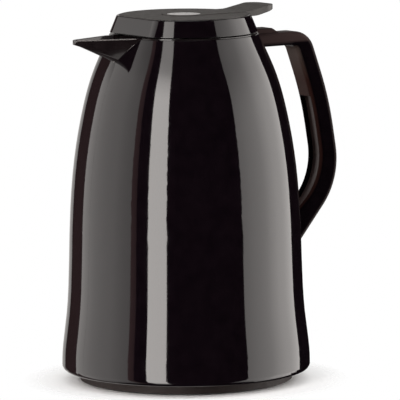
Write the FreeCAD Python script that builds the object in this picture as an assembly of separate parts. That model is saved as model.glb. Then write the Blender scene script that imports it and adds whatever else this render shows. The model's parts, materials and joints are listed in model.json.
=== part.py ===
import FreeCAD, Part
import math
import os

# Thermal jug: a plastic casing round a double-walled glass flask, with a pouring collar, a D-shaped
# handle and a screw-in stopper whose lever lifts a pouring valve. Millimetres, +Z up. The origin is
# on the jug's axis at table height, the handle points to +X and the spout to -X.

V = FreeCAD.Vector
AXIS = V(0, 0, 1)
ORIGIN = V(0, 0, 0)

# Clearances
SLIP = 0.1          # between pieces that are put together and then stay
RUN = 0.05          # radial running fit of a pin, stem or gasket
PLAY = 0.3          # between moving pieces that do not bear on each other

# Casing, a shell of revolution: radii of its outer face, with heights from the table or below the rim
CASING_WALL = 2.5
CASING_FLOOR_T = 3.0
CASING_BASE_Z = 7.0
CASING_EDGE_R = 4.0
RIM_Z = 237.2
FOOT_R = 85.0
FLARE_R = 82.0
FLARE_Z = 43.0
WAIST_R = 79.4
WAIST_Z = 94.0
SHOULDER_R = 75.6
SHOULDER_DROP = 86.0
UPPER_R = 69.7
UPPER_DROP = 52.0
THROAT_R = 61.6
THROAT_DROP = 24.0
RIM_R = 50.9
RIM_SLOPE = 0.45    # radius lost for each millimetre of height at the rim
CURVE_STEPS = 14    # points that carry the casing's parallel inner curve
SEAM_TURN = 67.0    # direction of the joint line of turned faces, away from lugs, spout and handle

# Base cap and its rubber ring
BASE_INSET = 12.3       # of the visible ring from the casing's foot
BASE_LEDGE = 2.2        # of the visible ring, under the casing's floor
BASE_RING_WALL = 8.0
BASE_PLATE_Z = 3.6
BASE_PLATE_T = 2.6
BASE_SPIGOT_WALL = 3.0
BASE_SPIGOT_H = 7.0
BASE_LUG_T = 2.4
BASE_LUG_REACH = 1.8
BASE_LUG_ARC = 24.0
BASE_NOTCH_ARC = 28.0
BASE_LUGS = 4
FOOT_RING_W = 3.2
FOOT_RING_T = 2.2
FOOT_RING_PROUD = 0.8
FOOT_RING_INSET = 2.2
CUSHION_R = 30.0
CUSHION_T = 7.0
CUSHION_HOLE_R = 9.0
BOSS_WALL = 6.0

# Glass flask: two walls with a vacuum between them
FLASK_R = 62.0
FLASK_BASE_Z = 22.0
GLASS_T = 1.8
VACUUM_GAP = 4.5
FLASK_CORNER_R = 30.0
FLASK_SHOULDER_R = 24.0
FLASK_SHOULDER_DROP = 15.0
FLASK_THROAT_DROP = 9.0
NECK_BORE_R = 27.5
NECK_GAP = 2.4
NECK_CORNER_R = 9.0
NECK_H = 23.0
LIP_T = 1.6
TIP_R = 4.0
TIP_L = 6.0
PAD_Z = 66.0
PAD_H = 10.0
PAD_ARC = 9.0
PADS = 3

# Pouring collar: a ring on the casing's rim, with a well for the stopper and the spout
COLLAR_LIP_T = 0.8
COLLAR_LIP_INSET = 0.7
COLLAR_SPIGOT_H = 2.0
WELL_R = 38.0
WELL_EDGE = 0.8         # of the well's wall, how far the trough runs into it
WELL_WALL = 3.0
WELL_DEPTH = 11.8
WELL_FLOOR_T = 2.6
MOUTH_R = 28.0
NECK_GASKET_T = 1.6
SPOUT_REACH = 91.0
SPOUT_TIP_BACK = 1.6    # how far the tip's upper edge stands back from its lower edge
SPOUT_ROOT_REACH = 40.0
SPOUT_BEND_REACH = 85.0
SPOUT_ROOT_HALF_W = 20.8
SPOUT_BEND_HALF_W = 4.6
SPOUT_TIP_HALF_W = 2.4
SPOUT_ROOT_DEPTH = 30.3
SPOUT_BEND_DEPTH = 6.0
SPOUT_TIP_DEPTH = 4.2
SPOUT_ROOT_ROUND = 8.0
SPOUT_BEND_ROUND = 2.0
SPOUT_TIP_ROUND = 1.2
SPOUT_WALL = 2.0
SPOUT_TIP_WALL = 0.9
TROUGH_DEPTH = 11.0
TROUGH_TOP = 3.0        # how far the trough's cutter stands above the rim

# Quick thread between the collar and the stopper
THREAD_LEAD = 35.0
THREAD_STARTS = 3
RAMP_ARC = 50.0
LUG_ARC = 40.0
LUG_H = 2.0
LUG_REACH = 2.2
RAMP_DROP = 7.0         # from the collar's top to the underside of a ramp's low end
THREAD_GAP = 0.4
ROOT_BITE = 0.8         # how far a lug or ramp is let into its wall

# Stopper and valve
LID_GAP = 1.0
DECK_T = 2.0
DECK_LIFT = 0.2
DRUM_WALL = 2.6
DRUM_GAP = 0.8          # under the drum, above the well's floor
DRUM_FLOOR_T = 2.0
PLUG_R = 26.0
PLUG_WALL = 2.8
PLUG_LENGTH = 22.5
ROOF_T = 4.4
WINDOW_HALF_W = 10.5
WINDOW_H = 6.8
WINDOW_WALL = 2.2
GASKET_H = 5.0
GASKET_T = 2.6
GASKET_GROOVE = 1.6
GASKET_Z = 5.0          # above the plug's lower end
SEAT_T = 3.5
SEAT_HOLE_R = 13.0
VALVE_R = 18.0
VALVE_T = 2.2
SEAL_T = 1.7
STEM_R = 3.0
STEM_PEG_R = 2.0
STEM_PEG_L = 1.5
CAP_R = 5.1
CAP_T = 1.7
CAP_CONE = 1.1
SPRING_R = 7.0
SPRING_WIRE_R = 0.7
SPRING_TURNS = 7

# Lid
LID_H = 11.2
LID_SLOPE = 0.41
LID_WALL = 2.2
LID_EDGE_R = 0.9
FACET_INSET = 6.2       # from the lid's full radius to the flat facet over the spout
CREASE_R = 9.0
PLATE_T = 1.7
PLATE_PROUD = 0.4
PLATE_GAP = 0.6
LEDGE_W = 1.6
LEDGE_T = 1.4
LID_SCREW_R = 1.2
LID_SCREW_HEAD_R = 2.4
LID_SCREW_HEAD_T = 1.2
LID_SCREW_L = 6.5
LID_POST_R = 3.2
LID_SCREW_PCR = 38.5
LID_SCREW_ANGLES = (70.0, 145.0, 215.0, 290.0)

# Lever, its pin and its badge
LEVER_HALF_W = 14.5
LEVER_T = 3.4
LEVER_RISE = 0.8        # of the lever's flat top above the lid's shell
LEVER_SLOT_GAP = 0.5
TAB_START_X = 44.0
TAB_UNDER_X = 51.5      # where the underside begins to rise
TAB_KNEE_X = 61.5
TAB_END_X = 69.0
TAB_RISE = 3.3
TAB_END_RISE = 0.2
TAB_TIP_T = 2.4
TAB_BEND_R = 26.0
TAB_KNEE_R = 18.0
TAB_CORNER_R = 9.5
LEVER_TRAVEL_DEG = 8.0
PIVOT_X = 25.0
PIN_R = 1.5
PIN_DROP = 3.3          # from the lever's underside to the pin's axis
RIB_IN = 5.5
RIB_T = 3.0
RIB_FRONT_X = -4.5
RIB_BACK = 3.6
EAR_T = 3.0
EAR_W = 6.0
EAR_TOP = 2.3
FORK_T = 2.0
FORK_LIFT = 0.9         # above the stopper's deck
FORK_BACK_X = 9.0
FORK_SLOT_GAP = 0.6
BADGE_R = 11.5
BADGE_T = 1.0
BADGE_SINK = 0.2
BADGE_GAP = 0.35

# Handle: two outlines in the plane of the spout, of straight runs with round corners
HANDLE_W = 17.0
HANDLE_EDGE_R = 3.2
HANDLE_DROP = 3.2
ARM_H = 9.3
ARM_CORNER_X = 100.8
ARM_CORNER_R = 17.0
ARM_INNER_R = 6.0
SPINE_T = 14.8
SPINE_LEAN = 0.366      # of the upper spine, outwards for each millimetre down
SPINE_DROP = 48.0
SPINE_BEND_R = 220.0
BELLY_LEAN = 0.167      # of the lower spine
BELLY_DROP = 56.9
BELLY_R = 50.0
BELLY_INNER_RISE = 2.2
BELLY_INNER_R = 42.0
ROOT_Z = 73.0
ROOT_INNER_Z = 100.0
ROOT_BURY = 12.0        # how far both ends run into the casing before they are trimmed
CHANNEL_W = 12.4
CHANNEL_DEPTH = 6.0
CHANNEL_TOP_Z = 188.0
INSERT_T = 2.2
REST_W = 12.5
REST_H = 3.5
REST_START = 2.8        # behind the casing's rim
REST_LENGTH = 21.6
REST_RAMP = 5.5
REST_EDGE_R = 1.0
HANDLE_SCREW_R = 1.9
HANDLE_SCREW_HEAD_R = 3.4
HANDLE_SCREW_HEAD_T = 2.2
UPPER_SCREW_BITE = 13.0
LOWER_SCREW_BITE = 7.0
SCREW_BOSS_R = 5.0
SCREW_BOSS_H = 1.6
LOWER_SCREW_RISE = 15.0

# Heights and radii that follow from the sizes above
BASE_R = FOOT_R - BASE_INSET
BASE_HOLE_R = BASE_R - BASE_LEDGE
COLLAR_TOP_Z = RIM_Z + COLLAR_LIP_T
WELL_FLOOR_Z = COLLAR_TOP_Z - WELL_DEPTH
FLASK_TOP_Z = WELL_FLOOR_Z - WELL_FLOOR_T - NECK_GASKET_T
LID_Z = COLLAR_TOP_Z + LID_GAP
LID_TOP_Z = LID_Z + LID_H
LID_R = RIM_R - RIM_SLOPE * (LID_Z - RIM_Z) + PLAY
DECK_Z = LID_Z + DECK_LIFT
DECK_TOP_Z = DECK_Z + DECK_T
ROOF_Z = DECK_TOP_Z - ROOF_T
DRUM_R = WELL_R - LUG_REACH - THREAD_GAP
DRUM_Z = WELL_FLOOR_Z + DRUM_GAP
PLUG_Z = DRUM_Z - PLUG_LENGTH
PLUG_BORE_R = PLUG_R - PLUG_WALL
SEAT_TOP_Z = PLUG_Z + SEAT_T
LEVER_TOP_Z = LID_TOP_Z + LEVER_RISE
LEVER_UNDER_Z = LEVER_TOP_Z - LEVER_T
PIN_Z = LEVER_UNDER_Z - PIN_DROP
FORK_Z = DECK_TOP_Z + FORK_LIFT
STEM_TOP_Z = FORK_Z + FORK_T + PLAY
HANDLE_TOP_Z = RIM_Z - HANDLE_DROP
CUSHION_Z = FLASK_BASE_Z - CUSHION_T
LOWER_SCREW_Z = ROOT_Z + LOWER_SCREW_RISE
UPPER_SCREW_Z = HANDLE_TOP_Z - ARM_H / 2


def rounded_path(points, radii):
    """Edges along straight runs, each inner corner rounded by a tangent arc, or sharp for radius 0."""
    edges = []
    start = points[0]
    for before, corner, after, radius in zip(points, points[1:], points[2:], radii):
        if radius == 0:
            edges.append(Part.makeLine(start, corner))
            start = corner
            continue
        back = (before - corner).normalize()
        on = (after - corner).normalize()
        half = back.getAngle(on) / 2
        enter = corner + back * (radius / math.tan(half))
        leave = corner + on * (radius / math.tan(half))
        middle = corner + (back + on).normalize() * (radius / math.sin(half) - radius)
        edges.append(Part.makeLine(start, enter))
        edges.append(Part.Arc(enter, middle, leave).toShape())
        start = leave
    edges.append(Part.makeLine(start, points[-1]))
    return edges


def parallel(points, distance):
    """A run of points in the XZ plane moved sideways, to the right as it goes, with mitred corners."""
    runs = [(b - a).normalize() for a, b in zip(points, points[1:])]
    sides = [V(run.z, 0, -run.x) for run in runs]
    moved = [points[0] + sides[0] * distance]
    for corner, one, two in zip(points[1:], sides, sides[1:]):
        moved.append(corner + (one + two) * (distance / (1 + one.dot(two))))
    moved.append(points[-1] + sides[-1] * distance)
    return moved


def spun(edges):
    """The solid that a closed outline in the XZ plane sweeps about the axis."""
    face = Part.Face(Part.Wire(Part.__sortEdges__(edges)))
    face.rotate(ORIGIN, AXIS, SEAM_TURN)
    return face.revolve(ORIGIN, AXIS, 360)


def turned(points):
    """The solid of revolution of a closed outline of (radius, height) corners."""
    corners = [V(radius, 0, height) for radius, height in points]
    return spun([Part.makeLine(a, b) for a, b in zip(corners, corners[1:] + corners[:1])])


def ring(inner, outer, low, high):
    """An upright ring."""
    return turned([(inner, low), (outer, low), (outer, high), (inner, high)])


def disc(radius, low, high):
    """An upright disc."""
    return Part.makeCylinder(radius, high - low, V(0, 0, low))


def block(x, y, z):
    """A box between pairs of limits."""
    return Part.makeBox(x[1] - x[0], y[1] - y[0], z[1] - z[0], V(x[0], y[0], z[0]))


def slab(edges, width):
    """A closed outline in the XZ plane, thickened evenly to both sides of that plane."""
    face = Part.Face(Part.Wire(Part.__sortEdges__(edges)))
    face.translate(V(0, -width / 2, 0))
    return face.extrude(V(0, width, 0))


def sector(inner, outer, low, high, centre, arc):
    """A piece of an upright ring, arc degrees wide about the direction centre."""
    half = math.radians(arc / 2)
    tip = V(2 * outer * math.cos(half), 2 * outer * math.sin(half), low)
    middle = V(0, 0, low)
    wedge = Part.Face(Part.makePolygon([middle, mirrored(tip), tip, middle]))
    piece = ring(inner, outer, low, high).common(wedge.extrude(V(0, 0, high - low)))
    piece.rotate(ORIGIN, AXIS, centre)
    return piece


def casing_curve():
    """The casing's outer line, from above its lower edge to the rim."""
    stations = [
        (FOOT_R, CASING_BASE_Z + CASING_EDGE_R),
        (FLARE_R, FLARE_Z),
        (WAIST_R, WAIST_Z),
        (SHOULDER_R, RIM_Z - SHOULDER_DROP),
        (UPPER_R, RIM_Z - UPPER_DROP),
        (THROAT_R, RIM_Z - THROAT_DROP),
        (RIM_R, RIM_Z),
    ]
    curve = Part.BSplineCurve()
    curve.interpolate(
        Points=[V(radius, 0, height) for radius, height in stations],
        InitialTangent=V(0, 0, 1),
        FinalTangent=V(-RIM_SLOPE, 0, 1),
    )
    return curve


def inward(curve, distance):
    """The curve parallel to a rising line, nearer the axis by a distance."""
    first = curve.FirstParameter
    span = curve.LastParameter - first
    points = []
    for step in range(CURVE_STEPS + 1):
        at = first + span * step / CURVE_STEPS
        rise = curve.tangent(at)[0]
        points.append(curve.value(at) + V(-rise.z, 0, rise.x) * distance)
    inner = Part.BSplineCurve()
    inner.interpolate(points)
    return inner


def radius_at(curve, height):
    """The radius of a rising line at a height, found by halving."""
    low = curve.FirstParameter
    high = curve.LastParameter
    for _ in range(40):
        middle = (low + high) / 2
        if curve.value(middle).z < height:
            low = middle
        else:
            high = middle
    return curve.value(low).x


def casing_form(grow):
    """The space inside the casing's outer face, grown outwards, closed at both ends."""
    curve = inward(casing_curve(), -grow)
    foot = curve.StartPoint
    rim = curve.EndPoint
    corners = [foot, V(foot.x, 0, CASING_BASE_Z), V(0, 0, CASING_BASE_Z), V(0, 0, rim.z), rim]
    return spun([curve.toShape()] + [Part.makeLine(a, b) for a, b in zip(corners, corners[1:])])


def handle_screw_places():
    """Height, seat of the head and length of shank of each screw that holds the handle."""
    outer = casing_curve()
    inner = inward(outer, CASING_WALL)
    places = []
    for z, bite in ((UPPER_SCREW_Z, UPPER_SCREW_BITE), (LOWER_SCREW_Z, LOWER_SCREW_BITE)):
        seat = radius_at(inner, z) - SCREW_BOSS_H
        places.append((z, seat, radius_at(outer, z) + bite - seat))
    return places


def outer_casing():
    """The shell: a flared foot, an inward floor round the base hole, and a rim cut for the spout."""
    outer = casing_curve()
    inner = inward(outer, CASING_WALL)
    foot = outer.StartPoint
    lower = V(foot.x - CASING_EDGE_R, 0, CASING_BASE_Z)
    half = math.sqrt(0.5) * CASING_EDGE_R
    bulge = V(lower.x + half, 0, foot.z - half)
    floor_z = CASING_BASE_Z + CASING_FLOOR_T
    corners = [
        lower,
        V(BASE_HOLE_R, 0, CASING_BASE_Z),
        V(BASE_HOLE_R, 0, floor_z),
        V(inner.StartPoint.x, 0, floor_z),
        inner.StartPoint,
    ]
    edges = [outer.toShape(), inner.toShape(), Part.Arc(foot, bulge, lower).toShape()]
    edges.append(Part.makeLine(outer.EndPoint, inner.EndPoint))
    edges += [Part.makeLine(a, b) for a, b in zip(corners, corners[1:])]
    shell = spun(edges)
    form = casing_form(0)
    for z, seat, _ in handle_screw_places():
        boss = Part.makeCylinder(SCREW_BOSS_R, FOOT_R, V(seat, 0, z), V(1, 0, 0)).common(form)
        shell = shell.fuse(boss)
    for z, seat, length in handle_screw_places():
        hole = Part.makeCylinder(HANDLE_SCREW_R + SLIP, length, V(seat, 0, z), V(1, 0, 0))
        shell = shell.cut(hole)
    reach = BASE_HOLE_R + BASE_LUG_REACH + PLAY
    for turn in range(BASE_LUGS):
        centre = 360 / BASE_LUGS * (turn + 0.5)
        notch = sector(BASE_HOLE_R - 1, reach, CASING_BASE_Z - 1, floor_z + 1, centre, BASE_NOTCH_ARC)
        shell = shell.cut(notch)
    return shell.cut(spout_loft(SLIP, SLIP, 0)).removeSplitter()


def spout_section(reach, half_width, depth, corner_r, lean, above):
    """A rounded V across the spout, its keel standing further out than its rim by lean."""
    keel = V(-reach, 0, COLLAR_TOP_Z - depth)
    rim = V(-reach + lean, half_width, COLLAR_TOP_Z)
    points = [mirrored(rim), keel, rim]
    radii = [corner_r]
    if above > 0:
        lift = V(lean * above / depth, 0, above)
        points = [mirrored(rim) + lift] + points + [rim + lift]
        radii = [0, corner_r, 0]
    return Part.Wire(rounded_path(points, radii) + [Part.makeLine(points[-1], points[0])])


def spout_loft(root_grow, tip_grow, above):
    """The spout's shape with its faces moved outwards, from inside the casing to the blunt tip."""
    rows = [
        (SPOUT_ROOT_REACH, SPOUT_ROOT_HALF_W, SPOUT_ROOT_DEPTH, SPOUT_ROOT_ROUND, 0, root_grow),
        (SPOUT_BEND_REACH, SPOUT_BEND_HALF_W, SPOUT_BEND_DEPTH, SPOUT_BEND_ROUND, 0, tip_grow),
        (SPOUT_REACH, SPOUT_TIP_HALF_W, SPOUT_TIP_DEPTH, SPOUT_TIP_ROUND, SPOUT_TIP_BACK, tip_grow),
    ]
    wires = []
    for reach, half_width, depth, corner_r, lean, grow in rows:
        share = 1 + grow * math.hypot(half_width, depth) / (depth * half_width)
        wires.append(spout_section(reach, half_width * share, depth * share, corner_r * share, lean, above))
    return Part.makeLoft(wires, True, True)


def trough_form():
    """The hollow of the spout: its shape less a wall, flat-floored, from the collar's well past the tip."""
    hollow = spout_loft(-SPOUT_WALL, -SPOUT_TIP_WALL, TROUGH_TOP)
    tip = max(hollow.Faces, key=lambda face: -face.CenterOfMass.x)
    hollow = hollow.fuse(tip.extrude(V(-TROUGH_TOP, 0, 0)))
    beyond = SPOUT_REACH + 2 * TROUGH_TOP
    room = (COLLAR_TOP_Z - TROUGH_DEPTH, COLLAR_TOP_Z + 2 * TROUGH_TOP)
    return hollow.common(block((-beyond, -WELL_R + WELL_EDGE), (-beyond, beyond), room))


def screw_thread(inner, outer, low, start, arc):
    """Ribs of the quick thread: a rectangle carried up a screw line, once for each start."""
    ribs = []
    corners = [V(inner, 0, 0), V(outer, 0, 0), V(outer, 0, LUG_H), V(inner, 0, LUG_H), V(inner, 0, 0)]
    line = Part.makeHelix(THREAD_LEAD, THREAD_LEAD * arc / 360, (inner + outer) / 2)
    for turn in range(THREAD_STARTS):
        rib = Part.Wire(line).makePipeShell([Part.makePolygon(corners)], True, True)
        rib.translate(V(0, 0, low))
        rib.rotate(ORIGIN, AXIS, start + 360 / THREAD_STARTS * turn)
        ribs.append(rib)
    return ribs


def ramp_height(angle):
    """Height of a ramp's underside, angle degrees from its low end."""
    return COLLAR_TOP_Z - RAMP_DROP + THREAD_LEAD * angle / 360


def pouring_collar():
    """Lip on the casing's rim, well for the stopper, ramps of the quick thread, and the spout."""
    spigot = radius_at(inward(casing_curve(), CASING_WALL), RIM_Z) - SLIP
    outside = WELL_R + WELL_WALL
    collar = turned([
        (WELL_R, COLLAR_TOP_Z),
        (RIM_R - COLLAR_LIP_INSET, COLLAR_TOP_Z),
        (RIM_R - COLLAR_LIP_INSET, RIM_Z),
        (spigot, RIM_Z),
        (spigot, RIM_Z - COLLAR_SPIGOT_H),
        (outside, RIM_Z - COLLAR_SPIGOT_H),
        (outside, WELL_FLOOR_Z - WELL_FLOOR_T),
        (MOUTH_R, WELL_FLOOR_Z - WELL_FLOOR_T),
        (MOUTH_R, WELL_FLOOR_Z),
        (WELL_R, WELL_FLOOR_Z),
    ])
    under = WELL_FLOOR_Z - WELL_FLOOR_T
    spout = spout_loft(0, 0, 0).cut(disc(radius_at(casing_curve(), under) - CASING_WALL, 0, under))
    collar = collar.fuse(spout)
    ramps = screw_thread(DRUM_R + THREAD_GAP, WELL_R + ROOT_BITE, ramp_height(0), -RAMP_ARC / 2, RAMP_ARC)
    for ramp in ramps:
        collar = collar.fuse(ramp)
    return collar.cut(trough_form()).removeSplitter()


def base_cap():
    """The cover under the flask: a visible ring, a plate, a spigot with lugs and a boss for the cushion."""
    plate_top = BASE_PLATE_Z + BASE_PLATE_T
    spigot_r = BASE_HOLE_R - SLIP
    spigot_top = CASING_BASE_Z + BASE_SPIGOT_H
    cap = turned([
        (0, BASE_PLATE_Z),
        (BASE_R - BASE_RING_WALL, BASE_PLATE_Z),
        (BASE_R - BASE_RING_WALL, FOOT_RING_PROUD),
        (BASE_R, FOOT_RING_PROUD),
        (BASE_R, CASING_BASE_Z),
        (spigot_r, CASING_BASE_Z),
        (spigot_r, spigot_top),
        (spigot_r - BASE_SPIGOT_WALL, spigot_top),
        (spigot_r - BASE_SPIGOT_WALL, plate_top),
        (CUSHION_R, plate_top),
        (CUSHION_R, CUSHION_Z),
        (CUSHION_R - BOSS_WALL, CUSHION_Z),
        (CUSHION_R - BOSS_WALL, plate_top),
        (0, plate_top),
    ])
    lug_z = CASING_BASE_Z + CASING_FLOOR_T + SLIP
    for turn in range(BASE_LUGS):
        centre = 360 / BASE_LUGS * turn
        reach = spigot_r + BASE_LUG_REACH
        lug = sector(spigot_r - 1, reach, lug_z, lug_z + BASE_LUG_T, centre, BASE_LUG_ARC)
        cap = cap.fuse(lug)
    outer = BASE_R - FOOT_RING_INSET
    return cap.cut(ring(outer - FOOT_RING_W, outer, 0, FOOT_RING_T)).removeSplitter()


def base_foot_ring():
    """Rubber ring let into the underside of the base cap, standing a little proud."""
    outer = BASE_R - FOOT_RING_INSET - SLIP
    return ring(outer - FOOT_RING_W + 2 * SLIP, outer, 0, FOOT_RING_T)


def flask_cushion():
    """Rubber disc with a hole for the flask's sealed tip."""
    return ring(CUSHION_HOLE_R, CUSHION_R, CUSHION_Z, FLASK_BASE_Z)


def flask_line(inset, neck_r, top):
    """Half the outline of a glass wall's face, inset from the flask's outside."""
    shoulder = FLASK_TOP_Z - NECK_H - inset
    points = [
        V(0, 0, FLASK_BASE_Z + inset),
        V(FLASK_R - inset, 0, FLASK_BASE_Z + inset),
        V(FLASK_R - inset, 0, shoulder - FLASK_SHOULDER_DROP + FLASK_THROAT_DROP),
        V(neck_r, 0, shoulder + FLASK_THROAT_DROP),
        V(neck_r, 0, top),
    ]
    return rounded_path(points, [FLASK_CORNER_R - inset, FLASK_SHOULDER_R - inset, NECK_CORNER_R])


def glass_wall(inset, outer_neck_r, inner_neck_r, top):
    """One wall of the flask, closed at the bottom and open at the neck."""
    outer = flask_line(inset, outer_neck_r, top)
    inner = flask_line(inset + GLASS_T, inner_neck_r, top)
    ends = [(V(inner_neck_r, 0, top), V(outer_neck_r, 0, top))]
    ends.append((V(0, 0, FLASK_BASE_Z + inset), V(0, 0, FLASK_BASE_Z + inset + GLASS_T)))
    return spun(outer + inner + [Part.makeLine(a, b) for a, b in ends])


def neck_radii():
    """Radii of the neck's four glass faces, from the bore outwards."""
    inner = NECK_BORE_R + GLASS_T
    return NECK_BORE_R, inner, inner + NECK_GAP, inner + NECK_GAP + GLASS_T


def flask_outer_glass():
    """Outer wall, with the tip where the vacuum was sealed."""
    _, _, inside, outside = neck_radii()
    wall = glass_wall(0, outside, inside, FLASK_TOP_Z - LIP_T)
    tip = Part.makeCone(TIP_R / 2, TIP_R, TIP_L + GLASS_T / 2, V(0, 0, FLASK_BASE_Z - TIP_L))
    return wall.fuse(tip).removeSplitter()


def flask_inner_glass():
    """Inner wall, with the lip that joins it to the outer one."""
    bore, inside, _, outside = neck_radii()
    wall = glass_wall(GLASS_T + VACUUM_GAP, inside, bore, FLASK_TOP_Z)
    return wall.fuse(ring(bore, outside, FLASK_TOP_Z - LIP_T, FLASK_TOP_Z)).removeSplitter()


def flask_spacer_pads():
    """Pads between the two glass walls."""
    outer = FLASK_R - GLASS_T - SLIP
    inner = outer - VACUUM_GAP + 2 * SLIP
    pads = []
    for turn in range(PADS):
        pads.append(sector(inner, outer, PAD_Z, PAD_Z + PAD_H, 90 + 360 / PADS * turn, PAD_ARC))
    return Part.makeCompound(pads)


def flask_neck_gasket():
    """Rubber ring between the flask's lip and the collar's floor."""
    bore, _, _, outside = neck_radii()
    return ring(MOUTH_R, outside, FLASK_TOP_Z, FLASK_TOP_Z + NECK_GASKET_T)


def handle_outer_corners():
    """Corners of the handle's outer line, from its top root to its lower root."""
    corner = V(ARM_CORNER_X, 0, HANDLE_TOP_Z)
    bend = corner + V(SPINE_LEAN, 0, -1) * SPINE_DROP
    belly = bend + V(BELLY_LEAN, 0, -1) * BELLY_DROP
    root = V(radius_at(casing_curve(), ROOT_Z), 0, ROOT_Z)
    buried = root + (root - belly).normalize() * ROOT_BURY
    return [V(RIM_R - ROOT_BURY, 0, HANDLE_TOP_Z), corner, bend, belly, buried]


def handle_inner_corners():
    """Corners of the finger gap's line, from its lower root to its top root."""
    top = V(ARM_CORNER_X - SPINE_T, 0, HANDLE_TOP_Z)
    corner = top + V(SPINE_LEAN, 0, -1) * ARM_H
    bend = top + V(SPINE_LEAN, 0, -1) * SPINE_DROP
    belly = bend + V(BELLY_LEAN, 0, -1) * (BELLY_DROP - BELLY_INNER_RISE)
    root = V(radius_at(casing_curve(), ROOT_INNER_Z), 0, ROOT_INNER_Z)
    buried = root + (root - belly).normalize() * ROOT_BURY
    return [buried, belly, bend, corner, V(RIM_R - ROOT_BURY, 0, corner.z)]


def gap_form(distance, width):
    """The finger gap, grown into the handle by a distance, below the hollow's upper end."""
    points = parallel(handle_inner_corners(), distance)
    edges = rounded_path(points, [BELLY_INNER_R + distance, SPINE_BEND_R + distance, ARM_INNER_R + distance])
    edges.append(Part.makeLine(points[-1], points[0]))
    return slab(edges, width).common(block((0, 2 * FOOT_R), (-width, width), (0, CHANNEL_TOP_Z)))


def handle():
    """The handle's moulding: rounded edges, hollowed along its inner side, seated on the casing."""
    outer = handle_outer_corners()
    inner = handle_inner_corners()
    edges = rounded_path(outer, [ARM_CORNER_R, SPINE_BEND_R, BELLY_R])
    edges += rounded_path(inner, [BELLY_INNER_R, SPINE_BEND_R, ARM_INNER_R])
    edges.append(Part.makeLine(outer[-1], inner[0]))
    edges.append(Part.makeLine(inner[-1], outer[0]))
    body = slab(edges, HANDLE_W)
    body = body.makeFillet(HANDLE_EDGE_R, [e for e in body.Edges if side_edge(e)])
    body = body.cut(gap_form(CHANNEL_DEPTH, CHANNEL_W)).cut(casing_form(SLIP))
    for z, seat, length in handle_screw_places():
        body = body.cut(Part.makeCylinder(HANDLE_SCREW_R + RUN, length + 1, V(seat, 0, z), V(1, 0, 0)))
    return body.removeSplitter()


def side_edge(edge):
    """Whether an edge lies in one of the handle's two side planes, outside the casing."""
    box = edge.BoundBox
    flat = box.YLength < SLIP and abs(abs(box.YMin) - HANDLE_W / 2) < SLIP
    return flat and box.XMax > RIM_R and box.ZMax - box.ZMin < HANDLE_TOP_Z and box.XMax > box.XMin + SLIP


def handle_screws():
    """Two screws from inside the casing into the handle's roots."""
    screws = []
    for z, seat, length in handle_screw_places():
        head = Part.makeCylinder(HANDLE_SCREW_HEAD_R, HANDLE_SCREW_HEAD_T, V(seat, 0, z), V(-1, 0, 0))
        shank = Part.makeCylinder(HANDLE_SCREW_R, length, V(seat, 0, z), V(1, 0, 0))
        screws.append(head.fuse(shank).removeSplitter())
    return Part.makeCompound(screws)


def handle_grip_insert():
    """Strip that lines the floor of the handle's hollow."""
    width = CHANNEL_W - 2 * SLIP
    strip = gap_form(CHANNEL_DEPTH - SLIP, width).cut(gap_form(CHANNEL_DEPTH - INSERT_T, 2 * width))
    ends = block((0, 2 * FOOT_R), (-width, width), (CHANNEL_TOP_Z - SLIP, CHANNEL_TOP_Z + 1))
    return strip.cut(ends).cut(casing_form(PLAY)).removeSplitter()


def handle_thumb_rest():
    """Low pad on the upper root, behind the lid."""
    start = RIM_R + REST_START
    end = start + REST_LENGTH
    low = HANDLE_TOP_Z
    points = [(start, low), (start, low + REST_H), (end - REST_RAMP, low + REST_H), (end, low), (start, low)]
    outline = [V(x, 0, z) for x, z in points]
    pad = slab([Part.makeLine(a, b) for a, b in zip(outline, outline[1:])], REST_W)
    upper = [e for e in pad.Edges if e.BoundBox.ZMax > low + SLIP and e.BoundBox.ZMin > low - SLIP]
    return pad.makeFillet(REST_EDGE_R, [e for e in upper if e.BoundBox.ZMin > low + SLIP])


def facet_outline(radius, z):
    """The lid's outline at a height: a circle with one flat side, over the spout, and rounded creases."""
    flat_x = -(radius - FACET_INSET)
    centre_x = flat_x + CREASE_R
    centre_y = math.sqrt((radius - CREASE_R) ** 2 - centre_x ** 2)
    meet = V(centre_x, centre_y, 0) * (radius / (radius - CREASE_R))
    turn = (math.pi - math.atan2(centre_y, centre_x)) / 2 + math.atan2(centre_y, centre_x)
    middle = V(centre_x + CREASE_R * math.cos(turn), centre_y + CREASE_R * math.sin(turn), 0)
    flat = V(flat_x, centre_y, 0)
    edges = [
        Part.Arc(mirrored(meet), V(radius, 0, 0), meet).toShape(),
        Part.Arc(meet, middle, flat).toShape(),
        Part.makeLine(flat, mirrored(flat)),
        Part.Arc(mirrored(flat), mirrored(middle), mirrored(meet)).toShape(),
    ]
    wire = Part.Wire(edges)
    wire.translate(V(0, 0, z))
    return wire


def mirrored(point):
    """The same point on the other side of the plane of the spout."""
    return V(point.x, -point.y, point.z)


def lid_form(inset, low, high):
    """The lid's tapering shape between two heights, inset from its outer face."""
    wires = [facet_outline(LID_R - inset - LID_SLOPE * (z - LID_Z), z) for z in (low, high)]
    return Part.makeLoft(wires, True, True)


def lid_screw_places():
    """Points on the deck's underside where the lid's screws go in."""
    places = []
    for angle in LID_SCREW_ANGLES:
        turn = math.radians(angle)
        places.append(V(LID_SCREW_PCR * math.cos(turn), LID_SCREW_PCR * math.sin(turn), DECK_Z))
    return places


def lever_way(gap, low, high):
    """The keyhole slot that the lever lies in, open at the back of the lid."""
    half = LEVER_HALF_W + gap
    return disc(half, low, high).fuse(block((0, LID_R + 1), (-half, half), (low, high)))


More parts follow.
